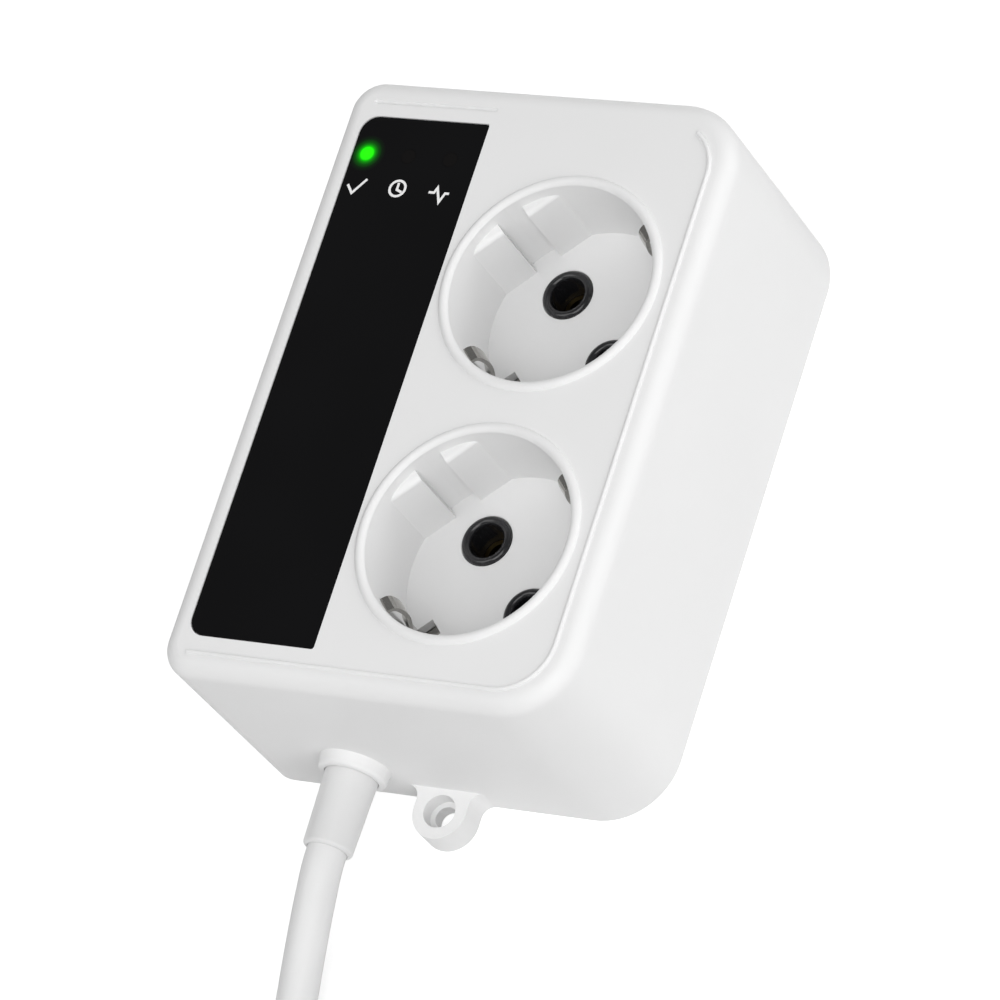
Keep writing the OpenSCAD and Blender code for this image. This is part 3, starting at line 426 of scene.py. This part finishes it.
def metal_group():
    """Fine drawn lines in the gloss and the relief, and slow dull spots in the colour."""
    group, entry, leave = new_group(
        "drawn_metal",
        [
            ("Colour", "NodeSocketColor", (0.7, 0.7, 0.7, 1)),
            ("Dull Colour", "NodeSocketColor", (0.5, 0.5, 0.5, 1)),
            ("Line Direction", "NodeSocketVector", LINES_ALONG_X),
            ("Smooth", "NodeSocketFloat", 0.15),
            ("Dull", "NodeSocketFloat", 0.35),
        ],
        [
            ("Colour", "NodeSocketColor"),
            ("Roughness", "NodeSocketFloat"),
            ("Height", "NodeSocketFloat"),
        ],
    )
    place = group.nodes.new("ShaderNodeTexCoord").outputs["Object"]
    pull = group.nodes.new("ShaderNodeVectorMath")
    pull.operation = "MULTIPLY"
    group.links.new(place, pull.inputs[0])
    group.links.new(entry.outputs["Line Direction"], pull.inputs[1])
    lines = noise(group, 1.0, 2, pull.outputs["Vector"])
    spots = stretched(group, noise(group, SPOT_SCALE, 4, place), 0.0, 1.0)
    group.links.new(mixed(group, spots, entry.outputs["Colour"], entry.outputs["Dull Colour"]),
                    leave.inputs["Colour"])
    group.links.new(stretched(group, lines, entry.outputs["Smooth"], entry.outputs["Dull"]),
                    leave.inputs["Roughness"])
    group.links.new(lines, leave.inputs["Height"])
    return group


drawn = metal_group()
print("group", drawn.name, "with", len(drawn.nodes), "nodes")

# %% [markdown]
# The metals are a table too.
#
# A row says how smooth and how dull a metal is at most, how dark its spots are, and which way its
# lines run: along the pins on the plug, and across the object on all else. The brass is much darker
# than clean brass, as painted shade: only a glimpse of it shows, deep in the pin holes, where it
# lies in deep shade.


# %% Make the metals
def metal(name, colour, smooth, dull, tarnish=0.8, lines=LINES_ALONG_X, bump=0.004 * MM, painted_shade=1):
    """A drawn or rolled metal of one colour."""
    material, tree, shader = new_material(name)
    shader.inputs["Metallic"].default_value = 1.0
    # painted_shade darkens the colour, as painted shade for a metal that lies in deep shade; 1 leaves
    # it.
    values = {
        "Colour": shade(colour, painted_shade),
        "Dull Colour": shade(colour, painted_shade * tarnish),
        "Line Direction": lines,
        "Smooth": smooth,
        "Dull": dull,
    }
    add_skin(tree, shader, drawn, values, bump)
    return material


METALS = {
    "screw_steel": dict(name="zinc_screws", smooth=0.25, dull=0.42),
    "tinned_metal": dict(name="tinned_clips", smooth=0.22, dull=0.4),
    # Painted shade: the brass is darkened almost to black for the deep shade in the pin holes.
    "contact_brass": dict(name="shade_darkened_brass_bars", smooth=0.35, dull=0.5, painted_shade=0.16),
    "spring_metal": dict(name="plated_springs", smooth=0.08, dull=0.18, tarnish=0.88),
    "pin_metal": dict(name="plated_pins", smooth=0.1, dull=0.2, tarnish=0.9, lines=LINES_ALONG_Y),
}
for slot, look in METALS.items():
    finish[slot] = metal(colour=COLOURS[slot], **look)
print(len(finish), "finishes with the metals")

# %% [markdown]
# The lamp behind the panel is the one thing that gives light of its own.
#
# Its lens glows bright green, and the black panel round it gets a painted halo: a glow that is
# painted onto the panel as emission, though the panel is no lamp. It is a colour that fades with
# distance from the lens, so it is worked out from the lens's place in the solid model.


# %% Find the lens and fade a colour from it
def top_middle(node):
    """The middle of the top of a CAD node's box."""
    low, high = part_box(node)
    return Vector(((low.x + high.x) / 2, (low.y + high.y) / 2, high.z))


lens_top = top_middle("green_lens")
print("the lit lens is at", [round(v, 4) for v in lens_top])


def fade_from(tree, point, reach):
    """1 at a point and 0 at a distance from it, in Object coordinates."""
    place = tree.nodes.new("ShaderNodeTexCoord").outputs["Object"]
    apart = tree.nodes.new("ShaderNodeVectorMath")
    apart.operation = "DISTANCE"
    apart.inputs[1].default_value = point
    tree.links.new(place, apart.inputs[0])
    fade = tree.nodes.new("ShaderNodeMapRange")
    fade.inputs["From Min"].default_value = 0
    fade.inputs["From Max"].default_value = reach
    fade.inputs["To Min"].default_value = 1
    fade.inputs["To Max"].default_value = 0
    tree.links.new(apart.outputs["Value"], fade.inputs["Value"])
    return fade.outputs["Result"]


def ramp(tree, value, stops):
    """Colours along a value. Each stop is a place from 0 to 1 and a colour."""
    made = tree.nodes.new("ShaderNodeValToRGB")
    band = made.color_ramp
    while len(band.elements) < len(stops):
        band.elements.new(0.5)
    for element, (place, colour) in zip(band.elements, stops):
        element.position = place
        element.color = colour
    tree.links.new(value, made.inputs["Fac"])
    return made.outputs["Color"]


# %% [markdown]
# The lens and the panel each take one such fade, with colours of their own.
#
# On the lens it is short and ends in a darker rim. On the panel it is a painted glow, longer, that
# falls off quickly at first and then slowly, as a halo does. Both have a weak shine, so that they are
# dark when they are looked at from above, and mirror the sky only at a low angle.

# %% Make the lit lens and the panel
LENS_GREEN = (0.005, 0.12, 0.005, 1)
LENS_ROUGHNESS = 0.15
GLOW_REACH = 1.6 * MM
GLOW_COLOURS = [
    (0, (0.0, 0.45, 0.0, 1)),
    (0.2, (0.015, 0.9, 0.0, 1)),
    (1, (0.025, 1.0, 0.0, 1)),
]
# Painted glow on the panel round the lit lens: how far it reaches, and its colours.
PAINTED_HALO_REACH = 3.9 * MM
PAINTED_HALO_COLOURS = [
    (0, (0, 0, 0, 1)),
    (0.2, (0.0, 0.01, 0.0, 1)),
    (0.38, (0.0, 0.07, 0.0, 1)),
    (0.5, (0.001, 0.2, 0.0, 1)),
    (0.61, (0.003, 0.5, 0.0, 1)),
]


def lit_lens():
    """A lens that glows evenly and grows darker at its very edge."""
    material, tree, shader = new_material("lit_green_lens")
    shader.inputs["Base Color"].default_value = LENS_GREEN
    shader.inputs["Roughness"].default_value = LENS_ROUGHNESS
    shader.inputs["Specular IOR Level"].default_value = LOW_SHINE
    shader.inputs["Emission Strength"].default_value = 1.0
    near = fade_from(tree, lens_top, GLOW_REACH)
    tree.links.new(ramp(tree, near, GLOW_COLOURS), shader.inputs["Emission Color"])
    return material


def black_panel():
    """Glossy black with a painted glow round the lit lamp, set as emission."""
    material = plastic("black_panel", COLOURS["panel_black"], smooth=0.1, dull=0.16, clouds=0.8,
                       shine=LOW_SHINE)
    tree = material.node_tree
    shader = tree.nodes["Principled BSDF"]
    shader.inputs["Emission Strength"].default_value = 1.0
    # Painted glow: the panel is no lamp, and this emission paints the halo round the lens.
    near = fade_from(tree, lens_top, PAINTED_HALO_REACH)
    tree.links.new(ramp(tree, near, PAINTED_HALO_COLOURS), shader.inputs["Emission Color"])
    return material


finish["lens_lit_green"] = lit_lens()
finish["panel_black"] = black_panel()
print(len(finish), "finishes with the lens and the panel")

# %% [markdown]
# The earth wires have a green skin with slanting yellow stripes, and the control board is green
# lacquer over copper tracks.
#
# Stripes and tracks are patterns with hard edges. The stripes come from a wave that runs slanting
# through the wire, and the tracks from cells whose edges are straight. In both, a ramp with two
# stops close together turns the soft pattern into a sharp step.

# %% Make the striped wire and the board
STRIPE_SCALE = 120
TRACK_SCALE = 160
STRIPE_GREEN = (0.05, 0.3, 0.05, 1)
STRIPE_YELLOW = (0.75, 0.62, 0.05, 1)
BOARD_TRACK = (0.05, 0.27, 0.12, 1)
BOARD_BARE = (0.02, 0.13, 0.06, 1)


def step_ramp(tree, value, place, width, first, second):
    """One colour up to a place on a value, and another from a little further on."""
    return ramp(tree, value, [(0, first), (place, first), (place + width, second), (1, second)])


def striped_wire():
    """Green insulation with slanting yellow stripes."""
    material = plastic("green_and_yellow_wire", COLOURS["core_earth_green"], smooth=0.42, dull=0.52)
    tree = material.node_tree
    shader = tree.nodes["Principled BSDF"]
    wave = tree.nodes.new("ShaderNodeTexWave")
    wave.bands_direction = "DIAGONAL"
    wave.inputs["Scale"].default_value = STRIPE_SCALE
    where = tree.nodes.new("ShaderNodeTexCoord").outputs["Object"]
    tree.links.new(where, wave.inputs["Vector"])
    colour = step_ramp(tree, wave.outputs["Fac"], place=0.55, width=0.05,
                       first=STRIPE_GREEN, second=STRIPE_YELLOW)
    tree.links.new(colour, shader.inputs["Base Color"])
    return material


def lacquered_board():
    """Green lacquer that is paler over the copper tracks."""
    material = plastic("board_lacquer", COLOURS["board_green"], smooth=0.22, dull=0.34)
    tree = material.node_tree
    shader = tree.nodes["Principled BSDF"]
    cells = tree.nodes.new("ShaderNodeTexVoronoi")
    cells.distance = "CHEBYCHEV"
    cells.feature = "F1"
    cells.inputs["Scale"].default_value = TRACK_SCALE
    where = tree.nodes.new("ShaderNodeTexCoord").outputs["Object"]
    tree.links.new(where, cells.inputs["Vector"])
    colour = step_ramp(tree, cells.outputs["Distance"], place=0.5, width=0.04,
                       first=BOARD_TRACK, second=BOARD_BARE)
    tree.links.new(colour, shader.inputs["Base Color"])
    return material


finish["core_earth_green"] = striped_wire()
finish["board_green"] = lacquered_board()
print(sorted(set(COLOURS) - set(finish)), "slots have no finish yet")

# %% [markdown]
# Under each lamp the panel has a white printed mark, which says what the lamp means.
#
# Print is far too thin to be a solid of its own, but it has a crisp edge that a picture would blur.
# So each mark is a real shape, a few hundredths of a millimetre high. A pen stroke is easy to
# model: the pen's path is drawn as a line of edges, the edges are raised into a low wall, and the
# wall is thickened sideways to the width of the pen. The marks are plain signs: a tick for a good
# supply, a clock for the waiting time and a jagged line for a bad supply.

# %% Draw the printed marks
MARK_DROP = 6.9 * MM
PRINT_HEIGHT = 0.03 * MM
PEN_WIDTH = 0.5 * MM
TICK = [(-1.6, 0.2), (-0.4, -1.3), (1.8, 1.6)]
CLOCK_R = 1.9
CLOCK_SIDES = 48
CLOCK_HANDS = [(0.2, 1.2), (0.2, -0.1), (1.2, -0.5)]
JAGGED_LINE = [(-2.2, 0), (-1.2, 0), (-0.6, 1.5), (0.6, -1.5), (1.2, 0), (2.2, 0)]


def raise_stroke(shape, path):
    """Turns a line of edges into a low band of the pen's width."""
    wall = bmesh.ops.extrude_edge_only(shape, edges=path)["geom"]
    top = [v for v in wall if isinstance(v, bmesh.types.BMVert)]
    bmesh.ops.translate(shape, vec=(0, 0, PRINT_HEIGHT), verts=top)
    shape.normal_update()
    sides = [f for f in wall if isinstance(f, bmesh.types.BMFace)]
    bmesh.ops.solidify(shape, geom=sides, thickness=PEN_WIDTH)


def draw_line(shape, points, place):
    """A pen stroke through points that are given in millimetres."""
    dots = [shape.verts.new(place + Vector((x, y, 0)) * MM) for x, y in points]
    raise_stroke(shape, [shape.edges.new(pair) for pair in zip(dots, dots[1:])])


def draw_ring(shape, radius, place):
    """A pen stroke round a circle, whose radius is given in millimetres."""
    where = Matrix.Translation(place)
    circle = bmesh.ops.create_circle(shape, segments=CLOCK_SIDES, radius=radius * MM, matrix=where)
    raise_stroke(shape, list(dict.fromkeys(e for v in circle["verts"] for e in v.link_edges)))


def place_under(lens):
    """Where the mark of a lens has its middle, on top of the panel."""
    above = top_middle(lens)
    return Vector((above.x, above.y - MARK_DROP, top_middle("indicator_panel").z))


def printed_marks(name):
    """The three marks under the lamps, as one piece."""
    shape = bmesh.new()
    draw_line(shape, TICK, place_under("green_lens"))
    draw_ring(shape, CLOCK_R, place_under("amber_lens"))
    draw_line(shape, CLOCK_HANDS, place_under("amber_lens"))
    draw_line(shape, JAGGED_LINE, place_under("red_lens"))
    bmesh.ops.recalc_face_normals(shape, faces=shape.faces)
    mesh = bpy.data.meshes.new(name)
    shape.to_mesh(mesh)
    shape.free()
    piece = bpy.data.objects.new(name, mesh)
    scene.collection.objects.link(piece)
    return piece


PRINT_WHITE = (0.9, 0.9, 0.9)
finish["white_print"] = plastic("white_print", PRINT_WHITE, smooth=0.4, dull=0.5, clouds=0.98)
status_marks = printed_marks("status_marks")
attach(status_marks, "root")
print("marks have", len(status_marks.data.polygons), "faces")

# %% [markdown]
# Every piece of the solid model now gets its finish.
#
# The record names a material slot for each piece, and the finishes are kept under the same names,
# so a loop can pair them. Only the material is set: the mesh of a solid piece is never touched.


# %% Put the finishes on the pieces
def paint(piece, material):
    """Gives a piece one material."""
    piece.data.materials.clear()
    piece.data.materials.append(material)


for part in record["subparts"]:
    paint(nodes[part["node"]], finish[part["material_slot"]])
paint(power_lead, finish["cord_sheath"])
paint(status_marks, finish["white_print"])
print(len(record["subparts"]), "nodes painted")

# %% [markdown]
# The light is a plain studio: a pale floor, an even sky and four large lamps.
#
# The picture's brightest side is the long one on the right. The face and the end with the cord are
# a little greyer. So the strongest lamp stands low on the right and behind, where it lights that
# side and only skims the face. A weaker one stands low on the right and in front, and two hang
# high, in front on either side, where they light the face and the bottoms of the wells. None of
# them stands where the glossy panel would show it to the camera, so the panel stays black.
# Large lamps give soft shadows, because a point at a shadow's edge still sees part of the lamp.

# %% Light the scene
LAMP_SIZE = 0.9
LAMPS = [
    ("right_lamp", (0.98, 0.98, 0.59), 9.3),
    ("front_lamp", (0.98, -0.98, 0.59), 7.0),
    ("high_front_lamp", (0.53, -0.53, 1.32), 7.2),
    ("high_left_lamp", (-0.53, -0.53, 1.32), 4.8),
]
LAMP_AIM = Vector((0, 0, 25 * MM))
SKY_STRENGTH = 0.27


def add_lamp(name, place, aim, size, power):
    """A square soft lamp, aimed at a point."""
    data = bpy.data.lights.new(name, "AREA")
    data.shape = "SQUARE"
    data.size = size
    data.energy = power
    lamp = bpy.data.objects.new(name, data)
    lamp.location = place
    lamp.rotation_euler = (aim - place).to_track_quat("-Z", "Y").to_euler()
    scene.collection.objects.link(lamp)


for lamp_name, lamp_place, lamp_power in LAMPS:
    add_lamp(lamp_name, Vector(lamp_place), LAMP_AIM, LAMP_SIZE, lamp_power)

world = bpy.data.worlds.new("pale_sky")
world.use_nodes = True
sky = world.node_tree.nodes["Background"]
sky.inputs["Color"].default_value = (1, 1, 1, 1)
sky.inputs["Strength"].default_value = SKY_STRENGTH
scene.world = world
print(len(LAMPS), "lamps of", sum(power for _, _, power in LAMPS), "W in all")

# %% [markdown]
# The floor is pale grey to the object and white to the camera.
#
# A white floor throws much light up at a white object, and its sides would turn flat and too
# bright. So the floor's own colour is a light grey, and it gives off a little light that only some
# rays can see: those of the camera, and those that come by a reflection or through something clear.
# Light Path tells which ray is asking. The shadow stays, because the light is only added to it.

# %% Lay the floor
FLOOR_SIZE = 12
FLOOR_GREY = (0.65, 0.65, 0.65, 1)
FLOOR_LIFT = 0.6


def summed(tree, first, second):
    """Two values added."""
    made = tree.nodes.new("ShaderNodeMath")
    made.operation = "ADD"
    tree.links.new(first, made.inputs[0])
    tree.links.new(second, made.inputs[1])
    return made.outputs["Value"]


def floor_material():
    """Pale grey that is lifted to white where it is seen, and keeps its shadows."""
    material, tree, shader = new_material("pale_floor")
    shader.inputs["Base Color"].default_value = FLOOR_GREY
    shader.inputs["Roughness"].default_value = 0.9
    shader.inputs["Specular IOR Level"].default_value = 0
    shader.inputs["Emission Color"].default_value = (1, 1, 1, 1)
    path = tree.nodes.new("ShaderNodeLightPath")
    seen = summed(tree, path.outputs["Is Camera Ray"], path.outputs["Is Glossy Ray"])
    seen_or_through = summed(tree, seen, path.outputs["Is Transmission Ray"])
    lift = tree.nodes.new("ShaderNodeMath")
    lift.operation = "MULTIPLY"
    lift.inputs[1].default_value = FLOOR_LIFT
    tree.links.new(seen_or_through, lift.inputs[0])
    tree.links.new(lift.outputs["Value"], shader.inputs["Emission Strength"])
    return material


def flat_floor(size):
    """A square floor, so many metres wide, in the plane that the object rests on."""
    mesh = bpy.data.meshes.new("floor")
    shape = bmesh.new()
    bmesh.ops.create_grid(shape, x_segments=1, y_segments=1, size=size / 2)
    shape.to_mesh(mesh)
    shape.free()
    piece = bpy.data.objects.new("floor", mesh)
    scene.collection.objects.link(piece)
    return piece


floor = flat_floor(FLOOR_SIZE)
paint(floor, floor_material())
scene.view_settings.view_transform = "Standard"
print("floor", FLOOR_SIZE, "m wide")
